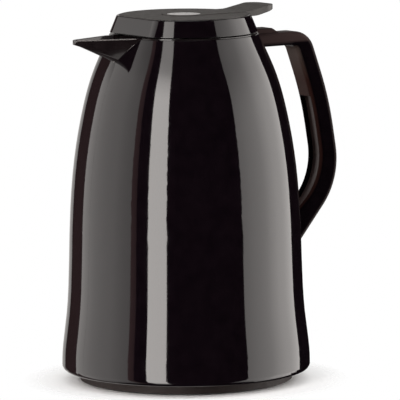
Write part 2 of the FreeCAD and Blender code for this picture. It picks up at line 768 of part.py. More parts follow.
def lid_shell():
    """The lid's side wall, with a ledge for the top plate, screw posts and a notch for the lever."""
    ledge_z = LID_TOP_Z + PLATE_PROUD - PLATE_T
    shell = lid_form(0, LID_Z, LID_TOP_Z)
    shell = shell.cut(lid_form(LID_WALL, LID_Z - 1, ledge_z - LEDGE_T))
    shell = shell.cut(lid_form(PLATE_GAP + LID_WALL / 2, ledge_z, LID_TOP_Z + 1))
    shell = shell.cut(lid_form(LID_WALL + LEDGE_W, ledge_z - LEDGE_T - 1, ledge_z + 1))
    inside = lid_form(LID_WALL / 2, LID_Z, LID_TOP_Z)
    for place in lid_screw_places():
        base = V(place.x, place.y, DECK_TOP_Z)
        post = Part.makeCylinder(LID_POST_R, ledge_z - DECK_TOP_Z, base).common(inside)
        rib = block((0, LID_R), (-LID_SCREW_R, LID_SCREW_R), (DECK_TOP_Z, ledge_z))
        rib.rotate(ORIGIN, AXIS, math.degrees(math.atan2(place.y, place.x)))
        rib = rib.common(inside).cut(disc(LID_SCREW_PCR, DECK_Z, LID_TOP_Z))
        hole = Part.makeCylinder(LID_SCREW_R + RUN, LID_SCREW_L + SLIP, V(place.x, place.y, DECK_Z))
        shell = shell.fuse(post).fuse(rib).cut(hole)
    drop = (LID_R - PIVOT_X) * math.sin(math.radians(LEVER_TRAVEL_DEG)) + 2 * PLAY
    half = LEVER_HALF_W + LEVER_SLOT_GAP
    notch = block((PIVOT_X, LID_R + 1), (-half, half), (LEVER_UNDER_Z - drop, LID_TOP_Z + 1))
    shell = shell.cut(notch).removeSplitter()
    rim = facet_outline(LID_R - LID_SLOPE * LID_H, LID_TOP_Z)
    top = []
    for edge in shell.Edges:
        middle = edge.valueAt((edge.FirstParameter + edge.LastParameter) / 2)
        if Part.Vertex(middle).distToShape(rim)[0] < SLIP:
            top.append(edge)
    return shell.makeFillet(LID_EDGE_R, top)


def lid_top_plate():
    """Thin plate on the lid's ledge, slotted for the lever."""
    low = LID_TOP_Z + PLATE_PROUD - PLATE_T
    plate = lid_form(PLATE_GAP + LID_WALL / 2 + SLIP, low, low + PLATE_T)
    return plate.cut(lever_way(LEVER_SLOT_GAP, low - 1, low + PLATE_T + 1)).removeSplitter()


def lid_screws():
    """Screws from under the deck into the lid's posts."""
    screws = []
    for place in lid_screw_places():
        head = Part.makeCylinder(LID_SCREW_HEAD_R, LID_SCREW_HEAD_T, place)
        shank = Part.makeCylinder(LID_SCREW_R, LID_SCREW_L, place)
        screws.append(head.fuse(shank).removeSplitter())
    return Part.makeCompound(screws)


def stopper_body():
    """Deck under the lid, threaded drum, hollow plug, pouring window and the ears for the lever's pin."""
    drum_floor = DRUM_Z + DRUM_FLOOR_T
    body = turned([
        (PLUG_BORE_R, PLUG_Z),
        (PLUG_R, PLUG_Z),
        (PLUG_R, DRUM_Z),
        (DRUM_R, DRUM_Z),
        (DRUM_R, DECK_Z),
        (DRUM_R - DRUM_WALL, DECK_Z),
        (DRUM_R - DRUM_WALL, drum_floor),
        (PLUG_R, drum_floor),
        (PLUG_R, ROOF_Z),
        (PLUG_BORE_R, ROOF_Z),
    ])
    body = body.fuse(lid_form(LID_WALL + SLIP, DECK_Z, DECK_TOP_Z)).fuse(disc(PLUG_R, ROOF_Z, DECK_TOP_Z))
    half = WINDOW_HALF_W + WINDOW_WALL
    frame = block((-DRUM_R, -PLUG_BORE_R), (-half, half), (DRUM_Z, DECK_Z))
    body = body.fuse(frame.common(disc(DRUM_R, DRUM_Z, DECK_Z)).cut(disc(PLUG_BORE_R, DRUM_Z, DECK_Z)))
    window = block((-DRUM_R - 1, 0), (-WINDOW_HALF_W, WINDOW_HALF_W), (drum_floor, drum_floor + WINDOW_H))
    body = body.cut(window.cut(disc(PLUG_BORE_R - 1, drum_floor - 1, DECK_Z)))
    slack = LUG_ARC / 2 - RAMP_ARC / 2
    lug_z = ramp_height(-slack) - PLAY - LUG_H
    for lug in screw_thread(DRUM_R - ROOT_BITE, DRUM_R + LUG_REACH, lug_z, -LUG_ARC / 2, LUG_ARC):
        body = body.fuse(lug)
    groove_z = PLUG_Z + GASKET_Z
    body = body.cut(ring(PLUG_R - GASKET_GROOVE, PLUG_R + 1, groove_z, groove_z + GASKET_H))
    for side in (-1, 1):
        near = side * (RIB_IN + RIB_T + PLAY)
        far = side * (RIB_IN + RIB_T + PLAY + EAR_T)
        width = (PIVOT_X - EAR_W / 2, PIVOT_X + EAR_W / 2)
        body = body.fuse(block(width, (min(near, far), max(near, far)), (DECK_TOP_Z, PIN_Z + EAR_TOP)))
    pin = Part.makeCylinder(PIN_R, 4 * LEVER_HALF_W, V(PIVOT_X, -2 * LEVER_HALF_W, PIN_Z), V(0, 1, 0))
    body = body.cut(pin).cut(disc(STEM_R + RUN, ROOF_Z - 1, DECK_TOP_Z + 1))
    for place in lid_screw_places():
        body = body.cut(Part.makeCylinder(LID_SCREW_HEAD_R + SLIP, LID_SCREW_HEAD_T, place))
        body = body.cut(Part.makeCylinder(LID_SCREW_R + SLIP, DECK_T + 1, place))
    return body.removeSplitter()


def stopper_gasket():
    """Rubber ring in the plug's groove, just inside the flask's neck."""
    inner = PLUG_R - GASKET_GROOVE + RUN
    low = PLUG_Z + GASKET_Z + SLIP
    return ring(inner, min(inner + GASKET_T, NECK_BORE_R - PLAY), low, low + GASKET_H - 2 * SLIP)


def valve_seat():
    """Ring in the plug's lower end that the valve closes on."""
    return ring(SEAT_HOLE_R, PLUG_BORE_R - SLIP / 2, PLUG_Z, SEAT_TOP_Z)


def valve_stem():
    """Disc and stem in one piece, with a peg for the cap."""
    low = SEAT_TOP_Z + SLIP + SEAL_T
    stem = disc(VALVE_R, low, low + VALVE_T).fuse(disc(STEM_R, low, STEM_TOP_Z))
    return stem.fuse(disc(STEM_PEG_R, STEM_TOP_Z, STEM_TOP_Z + STEM_PEG_L)).removeSplitter()


def valve_seal():
    """Rubber ring under the valve's disc."""
    low = SEAT_TOP_Z + SLIP
    return ring(SEAT_HOLE_R, VALVE_R, low, low + SEAL_T)


def stem_cap():
    """Cap on the stem that the lever's fork lifts, with a conical underside so that the fork can tilt."""
    top = STEM_TOP_Z + CAP_T
    return turned([
        (STEM_PEG_R, STEM_TOP_Z),
        (STEM_R, STEM_TOP_Z),
        (CAP_R, STEM_TOP_Z + CAP_CONE),
        (CAP_R, top),
        (STEM_PEG_R, top),
    ])


def arc_between(start, control, end):
    """The arc between two points whose tangents meet at a control point."""
    chord = (start + end) * 0.5
    toward = control - chord
    half = (end - start).Length / 2
    turn = math.atan2(toward.Length, half)
    return Part.Arc(start, chord + toward.normalize() * (half * math.tan(turn / 2)), end).toShape()


def valve_spring():
    """Open coil of round wire between the valve's disc and the stopper's roof, in arcs of a quarter turn."""
    low = SEAT_TOP_Z + SLIP + SEAL_T + VALVE_T + PLAY + SPRING_WIRE_R
    pitch = (ROOF_Z - PLAY - SPRING_WIRE_R - low) / SPRING_TURNS
    print("spring: least gap between turns", round(pitch - 2 * SPRING_WIRE_R, 2), "mm")
    climb = pitch / (2 * math.pi)
    places = []
    tangents = []
    for quarter in range(4 * SPRING_TURNS + 1):
        turn = math.pi / 2 * quarter
        places.append(V(SPRING_R * math.cos(turn), SPRING_R * math.sin(turn), low + climb * turn))
        tangents.append(V(-SPRING_R * math.sin(turn), SPRING_R * math.cos(turn), climb).normalize())
    edges = []
    for start, end, out, into in zip(places, places[1:], tangents, tangents[1:]):
        span = end - start
        both = span.dot(out + into)
        bend = 2 * (1 - out.dot(into))
        reach = (math.sqrt(both * both + bend * span.dot(span)) - both) / bend
        joint = (start + end + (out - into) * reach) * 0.5
        edges.append(arc_between(start, start + out * reach, joint))
        edges.append(arc_between(joint, end - into * reach, end))
    wire = Part.Wire(Part.makeCircle(SPRING_WIRE_R, places[0], tangents[0]))
    return Part.Wire(edges).makePipeShell([wire], True, False)


def lever_side():
    """Side outline of the lever's strip: flat over the lid, then up into the thumb tab."""
    top = LEVER_TOP_Z
    points = [
        V(-LEVER_HALF_W - 1, 0, top),
        V(TAB_START_X, 0, top),
        V(TAB_KNEE_X, 0, top + TAB_RISE),
        V(TAB_END_X + 1, 0, top + TAB_RISE + TAB_END_RISE),
    ]
    under = [
        V(points[0].x, 0, LEVER_UNDER_Z),
        V(TAB_UNDER_X, 0, LEVER_UNDER_Z),
        points[-1] - V(0, 0, TAB_TIP_T),
    ]
    edges = rounded_path(points, [TAB_BEND_R, TAB_KNEE_R]) + rounded_path(under, [TAB_BEND_R])
    edges.append(Part.makeLine(points[0], under[0]))
    edges.append(Part.makeLine(points[-1], under[-1]))
    return edges


def lever_plan(low, high):
    """Plan outline of the lever: round in front about the jug's axis, with rounded corners on the tab."""
    half = LEVER_HALF_W
    start = V(0, -half, low)
    end = V(0, half, low)
    corners = [start, V(TAB_END_X, -half, low), V(TAB_END_X, half, low), end]
    edges = rounded_path(corners, [TAB_CORNER_R, TAB_CORNER_R])
    edges.append(Part.Arc(end, V(-half, 0, low), start).toShape())
    return Part.Face(Part.Wire(edges)).extrude(V(0, 0, high - low))


def press_lever():
    """Strip with thumb tab, two ribs on the pin, and the fork under the stem's cap."""
    strip = slab(lever_side(), 4 * LEVER_HALF_W)
    lever = strip.common(lever_plan(LEVER_UNDER_Z - 1, LEVER_TOP_Z + 2 * TAB_RISE))
    back = PIVOT_X + RIB_BACK
    outer = RIB_IN + RIB_T
    for low, high in ((-outer, -RIB_IN), (RIB_IN, outer)):
        lever = lever.fuse(block((RIB_FRONT_X, back), (low, high), (FORK_Z, LEVER_UNDER_Z + PLAY)))
    lever = lever.fuse(block((RIB_FRONT_X, FORK_BACK_X), (-outer, outer), (FORK_Z, FORK_Z + FORK_T)))
    slot = STEM_R + FORK_SLOT_GAP
    lever = lever.cut(block((RIB_FRONT_X - 1, 0), (-slot, slot), (FORK_Z - 1, FORK_Z + FORK_T + SLIP)))
    lever = lever.cut(disc(slot, FORK_Z - 1, FORK_Z + FORK_T + SLIP))
    lever = lever.cut(Part.makeCylinder(PIN_R + RUN, 4 * outer, V(PIVOT_X, -2 * outer, PIN_Z), V(0, 1, 0)))
    sink = LEVER_TOP_Z - BADGE_SINK - BADGE_T
    return lever.cut(disc(BADGE_R + BADGE_GAP, sink, LEVER_TOP_Z + 1)).removeSplitter()


def lid_badge():
    """Plain disc set into the lever's round front end."""
    top = LEVER_TOP_Z - BADGE_SINK
    return disc(BADGE_R, top - BADGE_T, top)


def lever_pin():
    """Steel pin through the stopper's ears and the lever's ribs."""
    half = RIB_IN + RIB_T + PLAY + EAR_T
    return Part.makeCylinder(PIN_R, 2 * half, V(PIVOT_X, -half, PIN_Z), V(0, 1, 0))


PIECES = (
    outer_casing,
    pouring_collar,
    base_cap,
    base_foot_ring,
    flask_cushion,
    flask_outer_glass,
    flask_inner_glass,
    flask_spacer_pads,
    flask_neck_gasket,
    handle,
    handle_grip_insert,
    handle_thumb_rest,
    handle_screws,
    lid_shell,
    lid_top_plate,
    lid_screws,
    stopper_body,
    stopper_gasket,
    valve_seat,
    valve_stem,
    valve_seal,
    stem_cap,
    valve_spring,
    press_lever,
    lid_badge,
    lever_pin,
)

os.makedirs("parts", exist_ok=True)
for piece in PIECES:
    shape = piece()
    volumes = [round(solid.Volume, 1) for solid in shape.Solids]
    print(piece.__name__, "valid" if shape.isValid() else "NOT VALID", len(volumes), "solids", volumes)
    shape.exportStep("parts/" + piece.__name__ + ".step")
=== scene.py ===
# %% [markdown]
# # A thermal jug, dressed for the photograph
# The jug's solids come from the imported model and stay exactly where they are.
# This script gives every piece its material, adds the fine surface pieces that
# the solids leave out, and sets up floor, light and camera.

# %% Load the frame
import json
import math
import bmesh
import bpy
import numpy as np
from mathutils import Matrix, Vector
from mathutils.bvhtree import BVHTree


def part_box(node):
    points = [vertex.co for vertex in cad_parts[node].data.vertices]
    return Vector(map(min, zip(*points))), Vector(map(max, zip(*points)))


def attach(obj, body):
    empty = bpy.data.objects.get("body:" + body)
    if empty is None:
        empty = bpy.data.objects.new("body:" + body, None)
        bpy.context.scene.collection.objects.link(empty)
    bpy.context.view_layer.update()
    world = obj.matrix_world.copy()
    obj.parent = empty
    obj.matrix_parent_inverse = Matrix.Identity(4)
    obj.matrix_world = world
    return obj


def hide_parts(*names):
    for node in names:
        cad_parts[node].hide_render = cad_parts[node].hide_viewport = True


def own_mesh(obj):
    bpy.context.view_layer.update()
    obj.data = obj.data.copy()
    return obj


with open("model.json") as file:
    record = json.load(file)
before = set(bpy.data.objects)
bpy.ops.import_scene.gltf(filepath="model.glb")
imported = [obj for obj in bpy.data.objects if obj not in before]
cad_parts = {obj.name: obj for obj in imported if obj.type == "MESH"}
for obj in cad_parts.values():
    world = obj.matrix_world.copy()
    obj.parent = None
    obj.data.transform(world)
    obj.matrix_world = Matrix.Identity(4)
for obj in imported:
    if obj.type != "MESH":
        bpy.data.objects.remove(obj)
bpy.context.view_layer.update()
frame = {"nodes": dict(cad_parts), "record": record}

NODES = frame["nodes"]

# %% [markdown]
# ## The camera
# The photo was taken from well away with a long lens, a little above the jug.
# Turning the camera towards a point beside the jug's axis gives the photo's
# framing without any lens shift. The photo leans by a fraction of a degree,
# so the camera rolls by as much.

# %% Camera
AZIMUTH = math.radians(-35.0)        # of the view, from the side towards the spout
DISTANCE = 3.4                       # along the floor, from the jug's axis
HEIGHT = 0.5545
ROLL = math.radians(0.39)
LENS_MM = 451.1                      # on a sensor 36 mm wide
AIM = (0.01026, 0.123)               # to the right of the axis, and up

right = Vector((math.cos(AZIMUTH), math.sin(AZIMUTH), 0))
ahead = Vector((-math.sin(AZIMUTH), math.cos(AZIMUTH), 0))
eye = -ahead * DISTANCE + Vector((0, 0, HEIGHT))
look = (right * AIM[0] + Vector((0, 0, AIM[1])) - eye).normalized()
side = look.cross(Vector((0, 0, 1))).normalized()
top = side.cross(look)
side, top = side * math.cos(ROLL) - top * math.sin(ROLL), top * math.cos(ROLL) + side * math.sin(ROLL)

camera_data = bpy.data.cameras.new("camera")
camera_data.sensor_width = 36.0
camera_data.lens = LENS_MM
camera = bpy.data.objects.new("camera", camera_data)
bpy.context.collection.objects.link(camera)
turn = Matrix((side, top, -look)).transposed().to_4x4()
camera.matrix_world = Matrix.Translation(eye) @ turn
bpy.context.scene.camera = camera
bpy.context.scene.view_settings.view_transform = "Standard"
print("camera at", [round(v, 3) for v in eye])

# %% [markdown]
# ## A sheet from a grid
# Every piece that this script adds is a surface of two parameters: a grid of
# points, joined into four-sided faces. A grid that runs round a tube or a disc
# is closed by joining its last column to its first.


# %% Sheet
def sheet(name, points, wrap=False):
    """A mesh from a grid of points: row u, column v; wrap joins the last column to the first."""
    rows, columns = points.shape[:2]
    index = np.arange(rows * columns).reshape(rows, columns)
    if wrap:
        index = np.concatenate([index, index[:, :1]], axis=1)
    quads = np.stack([index[:-1, :-1], index[:-1, 1:], index[1:, 1:], index[1:, :-1]], axis=-1)
    mesh = bpy.data.meshes.new(name)
    mesh.from_pydata(points.reshape(-1, 3).tolist(), [], quads.reshape(-1, 4).tolist())
    mesh.polygons.foreach_set("use_smooth", np.ones(len(mesh.polygons), dtype=bool))
    made = bpy.data.objects.new(name, mesh)
    bpy.context.collection.objects.link(made)
    return made


# %% [markdown]
# ## The light
# The casing works like a dark mirror, so what it shows is the studio. Tall
# curved sheets of light stand round the jug and give its stripes: a wide one
# on each side, a narrow bright one near the camera on the left, and a faint one
# behind on the left that draws the left edge. Everything between is dark.
# Angles are measured from the direction of the camera, to the left when
# negative. A real diffuser isn't even, so each sheet has its own run of levels.

# %% Where the sheets stand
PANEL_LOW, PANEL_HIGH = -3.0, 2.4    # lower and upper edge
PANEL_FAR = 2.0                      # distance from the jug's axis
PANEL_ROWS, PANEL_COLUMNS = 46, 33
WARM = np.array((1.0, 0.955, 0.925))
BROWN = np.array((1.0, 0.60, 0.58))
# runs: angle in degrees and brightness, from edge to edge
LEFT_RUN = ((-109, 1.885), (-75, 1.85), (-62, 1.5), (-54.5, 1.35))
LEFT_OUTER_RUN = ((-122, 1.9), (-109.1, 1.885))
LEFT_RIM_RUN = ((-54.4, 0.5), (-48.6, 0.32))
LEFT_FAR_RUN = ((-150, 0.05), (-122.1, 0.14))
STRIP_RUN = ((-36.5, 9.0), (-18, 8.8))
RIGHT_RUN = ((58, 2.25), (71, 2.75), (86, 3.15), (94, 3.6), (103, 3.75), (113, 3.35), (129, 3.15))
BACK_RUN = ((-186, 0.6), (-151, 0.6))
# climbs: height in metres and the share of brightness there
EVEN = ((0.0, 1.0), (1.0, 1.0))
FOOT = ((-2.6, 0.42), (-0.9, 1.0))                   # every main sheet fades towards the ground
LEFT_CLIMB = (*FOOT, (1.2, 1.0), (1.7, 0.75), (2.4, 0.6))
LEFT_OUTER_CLIMB = (*FOOT, (0.70, 1.0), (0.98, 0.62), (2.4, 0.5))
STRIP_CLIMB = (*FOOT, (1.1, 1.0), (1.5, 0.74), (1.7, 0.52), (1.9, 0.42), (2.4, 0.42))
RIGHT_CLIMB = (*FOOT, (0.65, 1.0), (1.1, 0.76), (1.4, 0.62), (2.4, 0.58))
BACK_CLIMB = ((0.1, 1.0), (0.4, 0.66), (2.4, 0.36))
PANELS = {
    "panel_left": (WARM, LEFT_RUN, LEFT_CLIMB),
    "panel_left_outer": (WARM, LEFT_OUTER_RUN, LEFT_OUTER_CLIMB),
    "panel_left_rim": (BROWN, LEFT_RIM_RUN, EVEN),
    "panel_left_far": (BROWN, LEFT_FAR_RUN, EVEN),
    "panel_strip": (WARM, STRIP_RUN, STRIP_CLIMB),
    "panel_right": (WARM, RIGHT_RUN, RIGHT_CLIMB),
    "panel_back": (WARM, BACK_RUN, BACK_CLIMB),
}
print("sheets of light:", list(PANELS))

# %% [markdown]
# A lamp shines evenly, so each sheet is a mesh instead. Its brightness is stored
# point by point, and one material that shines with that colour serves them all.


# %% Sheet of light
def glowing(name):
    """A material that shines with the colour stored on the mesh."""
    material = bpy.data.materials.new(name)
    material.use_nodes = True
    tree = material.node_tree
    tree.nodes.clear()
    output = tree.nodes.new("ShaderNodeOutputMaterial")
    lamp = tree.nodes.new("ShaderNodeEmission")
    level = tree.nodes.new("ShaderNodeAttribute")
    level.attribute_name = "glow"
    tree.links.new(level.outputs["Color"], lamp.inputs["Color"])
    tree.links.new(lamp.outputs[0], output.inputs["Surface"])
    return material


GLOW = glowing("panel_glow")


def panel(name, tint, run, climb):
    """An upright curved sheet of light: column v is an angle round the jug, row u a height."""
    turn = np.linspace(run[0][0], run[-1][0], PANEL_COLUMNS)
    rise = np.linspace(PANEL_LOW, PANEL_HIGH, PANEL_ROWS)
    upward = np.interp(rise, *np.transpose(climb))[:, None]
    sideways = np.interp(turn, *np.transpose(run))[None, :]
    angle = np.radians(turn)[:, None]
    around = np.cos(angle) * -np.array(ahead) + np.sin(angle) * np.array(right)
    up = np.array((0.0, 0.0, 1.0))
    made = sheet(name, PANEL_FAR * around[None] + rise[:, None, None] * up)
    colour = np.ones((PANEL_ROWS, PANEL_COLUMNS, 4))
    colour[..., :3] = (upward * sideways)[..., None] * tint
    glow = made.data.attributes.new("glow", "FLOAT_COLOR", "POINT")
    glow.data.foreach_set("color", colour.ravel())
    made.data.materials.append(GLOW)
    made.visible_camera = False
    return made


for name, (tint, run, climb) in PANELS.items():
    made = panel(name, tint, run, climb)
    print(name, "points:", len(made.data.vertices))

# %% [markdown]
# One broad lamp overhead lights the lid's plate and the floor. It needs no
# gradient, so an area lamp does.

# %% Overhead lamp
OVERHEAD_SIZE, OVERHEAD_Z, OVERHEAD_BRIGHT = 1.6, 2.6, 1.5
overhead_data = bpy.data.lights.new("panel_overhead", "AREA")
overhead_data.size = OVERHEAD_SIZE
overhead_data.energy = OVERHEAD_BRIGHT * math.pi * OVERHEAD_SIZE ** 2
overhead = bpy.data.objects.new("panel_overhead", overhead_data)
bpy.context.collection.objects.link(overhead)
overhead.location = (0, 0, OVERHEAD_Z)
overhead.visible_camera = False
print("overhead lamp:", round(overhead_data.energy, 1), "W")

# %% [markdown]
# The backdrop is white for the camera. Reflections see a dark studio, and
# matt surfaces get a little even light from all round.

# %% World
world = bpy.data.worlds.new("studio")
bpy.context.scene.world = world
world.use_nodes = True
tree = world.node_tree
tree.nodes.clear()
output = tree.nodes.new("ShaderNodeOutputWorld")
path = tree.nodes.new("ShaderNodeLightPath")
tints = {
    "camera": (1.0, 1.0, 1.0, 1),
    "glossy": (0.006, 0.004, 0.005, 1),
    "diffuse": (0.56, 0.56, 0.56, 1),
}
shades = {}
for name, tint in tints.items():
    shades[name] = tree.nodes.new("ShaderNodeBackground")
    shades[name].inputs["Color"].default_value = tint
inner = tree.nodes.new("ShaderNodeMixShader")
outer = tree.nodes.new("ShaderNodeMixShader")
tree.links.new(path.outputs["Is Glossy Ray"], inner.inputs[0])
tree.links.new(shades["diffuse"].outputs[0], inner.inputs[1])
tree.links.new(shades["glossy"].outputs[0], inner.inputs[2])
tree.links.new(path.outputs["Is Camera Ray"], outer.inputs[0])
tree.links.new(inner.outputs[0], outer.inputs[1])
tree.links.new(shades["camera"].outputs[0], outer.inputs[2])
tree.links.new(outer.outputs[0], output.inputs["Surface"])
print("world:", list(shades))

# %% [markdown]
# ## Tools for materials
# Each material is a small network on the piece's own coordinates, in metres.
# A noise of a stated grain tints the colour between two close tones, another
# one varies the roughness, and a third raises a fine bump. A bevel node rounds
# every edge for the light, and its mask shows where edges are rubbed paler.


# %% Material tools
class Paint:
    """A material under construction: its node tree, shader and object coordinates."""

    def __init__(self, name, **sockets):
        self.material = bpy.data.materials.new(name)
        self.material.use_nodes = True
        self.tree = self.material.node_tree
        self.shader = self.tree.nodes["Principled BSDF"]
        self.place = self.tree.nodes.new("ShaderNodeTexCoord").outputs["Object"]
        for socket, value in sockets.items():
            self.shader.inputs[socket.replace("_", " ")].default_value = value

    def node(self, kind, **sockets):
        """A new node with values or links for its sockets; _ stands for a space in a socket's name."""
        made = self.tree.nodes.new("ShaderNode" + kind)
        for socket, value in sockets.items():
            self.join(made.inputs[socket.replace("_", " ")], value)
        return made

    def join(self, socket, value):
        """Links an output to a socket, or sets the socket's value."""
        if isinstance(value, bpy.types.NodeSocket):
            self.tree.links.new(value, socket)
        else:
            socket.default_value = value

    def noise(self, grain_mm, detail=3.0, rough=0.55):
        """Noise whose features are about grain_mm across."""
        scale = 1000.0 / grain_mm
        made = self.node("TexNoise", Vector=self.place, Scale=scale, Detail=detail, Roughness=rough)
        return made.outputs["Fac"]

    def span(self, value, low, high, start=0.3, end=0.7):
        """A value carried from start..end onto low..high."""
        limits = {"From_Min": start, "From_Max": end, "To_Min": low, "To_Max": high}
        made = self.node("MapRange", Value=value, **limits)
        return made.outputs["Result"]

    def tones(self, value, one, two):
        """A colour between two tones."""
        made = self.tree.nodes.new("ShaderNodeMix")
        made.data_type = "RGBA"
        self.join(made.inputs["Factor"], value)
        for socket, tone in ((made.inputs[6], one), (made.inputs[7], two)):
            self.join(socket, tone if isinstance(tone, bpy.types.NodeSocket) else (*tone, 1))
        return made.outputs[2]

    def math(self, operation, one, two):
        """Arithmetic on two values."""
        made = self.tree.nodes.new("ShaderNodeMath")
        made.operation = operation
        self.join(made.inputs[0], one)
        self.join(made.inputs[1], two)
        return made.outputs[0]

    def vectors(self, operation, one, two):
        """Arithmetic on two vectors; the node is returned, because some results are single values."""
        made = self.tree.nodes.new("ShaderNodeVectorMath")
        made.operation = operation
        self.join(made.inputs[0], one)
        self.join(made.inputs[1], two)
        return made

    def soft_edges(self, radius_mm):
        """A normal that is rounded off at every edge, and a mask that is 1 on the edges."""
        soft = self.node("Bevel", Radius=radius_mm / 1000.0).outputs["Normal"]
        turned = self.vectors("DOT_PRODUCT", soft, self.node("NewGeometry").outputs["Normal"])
        return soft, self.span(turned.outputs["Value"], 1.0, 0.0, 0.80, 0.985)

    def bump(self, value, depth_mm, strength=1.0, under=None):
        """A bump of a height in millimetres, on top of another one."""
        made = self.node("Bump", Strength=strength, Distance=depth_mm / 1000.0, Height=value)
        if under is not None:
            self.tree.links.new(under, made.inputs["Normal"])
        return made.outputs["Normal"]

    def finish(self, colour, rough, normal=None):
        """Plugs colour, roughness and bump into the shader."""
        self.join(self.shader.inputs["Base Color"], colour)
        self.join(self.shader.inputs["Roughness"], rough)
        if normal is not None:
            self.tree.links.new(normal, self.shader.inputs["Normal"])
        return self.material

# %% [markdown]
# Most pieces are moulded, so one recipe serves for plastic, rubber, glass and
# metal alike. Only its numbers differ: tones, grains in millimetres, roughness
# and the depth of the bumps.


# %% Moulded finish
EDGE_WEAR, EDGE_DULLING = 0.5, 0.15      # most that an edge is paler and rougher
WEAR_GRAIN_MM = 2.2


def moulded(name, tones, tone_grain, rough, rough_grain, bumps, edge_mm=0.5, **sockets):
    """A moulded finish: two tones, a range of roughness, fine bumps and edges worn paler."""
    paint = Paint(name, **sockets)
    normal, edge = paint.soft_edges(edge_mm)
    worn = paint.math("MULTIPLY", edge, paint.span(paint.noise(WEAR_GRAIN_MM), 0.0, EDGE_WEAR))
    colour = paint.tones(paint.span(paint.noise(tone_grain), 0.0, 1.0), *tones)
    colour = paint.tones(worn, colour, [min(1.9 * c + 0.002, 0.9) for c in tones[1]])
    dulled = paint.math("MULTIPLY", worn, EDGE_DULLING)
    gloss = paint.math("ADD", paint.span(paint.noise(rough_grain), *rough), dulled)
    for grain, depth in bumps:
        normal = paint.bump(paint.noise(grain), depth, under=normal)
    return paint.finish(colour, gloss, normal)


# %% [markdown]
# ## Gloss plastics
# The casing and the lid's side are one near-black plastic with a brown tint,
# polished like a mirror; a mould never is quite flat, so a long shallow wave
# runs under the gloss. The spout's ring has a softer polish, and the lip and
# seam on the pouring edge are painted paler: a painted highlight for the thin
# light line along the rim.

# %% Gloss plastics
GLOSS_TONES = ((0.0018, 0.0010, 0.0017), (0.0030, 0.0017, 0.0026))
GLOSS = moulded(
    "gloss_shell", GLOSS_TONES, 9.0, (0.03, 0.06), 14.0,
    ((45.0, 0.0010), (1.6, 0.0003)), IOR=1.5,
)
COLLAR = moulded(
    "gloss_collar", ((0.0055, 0.0038, 0.0042), (0.0085, 0.0060, 0.0065)), 9.0, (0.07, 0.14), 11.0,
    ((30.0, 0.008), (1.4, 0.0004)), IOR=1.5,
)
# painted highlight: the lip and seam are paler than the plastic and stand in for the light line along the
# rim
EDGE_HIGHLIGHT = moulded(
    "painted_edge_highlight", ((0.085, 0.078, 0.076), (0.125, 0.115, 0.112)), 2.0, (0.20, 0.30), 1.5,
    ((0.5, 0.006),), edge_mm=0.15, IOR=1.5,
)
print("gloss plastics:", GLOSS.name, COLLAR.name, EDGE_HIGHLIGHT.name)

# %% [markdown]
# ## Satin and matt plastics
# The lid's plate and lever are satin, with the fine grain of an eroded mould.
# The base cap is matt brown-black, and the strip in the handle's hollow is a
# warmer brown. Stopper and valve are hidden until the closure is lifted out.

# %% Satin and matt plastics
SATIN = moulded(
    "satin_lid", ((0.032, 0.0295, 0.0275), (0.042, 0.039, 0.0365)), 6.0, (0.40, 0.52), 3.0,
    ((0.55, 0.010), (0.2, 0.004)), edge_mm=0.35, IOR=1.5, Specular_IOR_Level=0.3,
)
BASE = moulded(
    "base_plastic", ((0.0105, 0.0060, 0.0052), (0.0155, 0.0094, 0.0084)), 4.0, (0.58, 0.72), 2.5,
    ((0.8, 0.02), (0.3, 0.008)), IOR=1.5, Specular_IOR_Level=0.25,
)
LINING = moulded(
    "handle_lining", ((0.066, 0.041, 0.039), (0.090, 0.057, 0.054)), 3.0, (0.38, 0.52), 2.0,
    ((0.7, 0.018), (0.25, 0.006)), IOR=1.5,
)
STOPPER = moulded(
    "stopper_plastic", ((0.018, 0.017, 0.0175), (0.027, 0.026, 0.0265)), 5.0, (0.24, 0.36), 3.0,
    ((0.7, 0.010), (0.25, 0.004)), IOR=1.5,
)
VALVE = moulded(
    "valve_plastic", ((0.62, 0.62, 0.60), (0.68, 0.68, 0.66)), 7.0, (0.26, 0.36), 3.0,
    ((1.0, 0.010), (0.3, 0.004)), IOR=1.5,
)
print("matt plastics:", SATIN.name, BASE.name, LINING.name, STOPPER.name, VALVE.name)

# %% [markdown]
# ## Rubber, steel and glass
# Rubber and silicone are rough and slightly uneven. The screws, pin and spring
# are drawn steel. The flask's glass is silvered on the inside of its walls, so
# it is a mirror under a clear coat.

# %% Rubber, steel and glass
RUBBER = moulded(
    "seal_rubber", ((0.016, 0.016, 0.016), (0.028, 0.028, 0.028)), 5.0, (0.62, 0.82), 2.0,
    ((0.9, 0.03), (0.25, 0.01)), IOR=1.5,
)
SILICONE = moulded(
    "white_silicone", ((0.70, 0.69, 0.655), (0.76, 0.75, 0.72)), 6.0, (0.48, 0.62), 2.0,
    ((1.2, 0.02), (0.3, 0.006)), IOR=1.42,
)
STEEL = moulded(
    "steel", ((0.50, 0.50, 0.495), (0.60, 0.60, 0.595)), 1.2, (0.2, 0.34), 0.6,
    ((0.5, 0.006),), Metallic=1.0,
)
SILVERED = moulded(
    "flask_glass", ((0.74, 0.76, 0.77), (0.80, 0.815, 0.82)), 22.0, (0.03, 0.07), 15.0,
    ((30.0, 0.02),), Metallic=1.0, Coat_Weight=1.0, Coat_Roughness=0.02,
)
print("others:", RUBBER.name, SILICONE.name, STEEL.name, SILVERED.name)
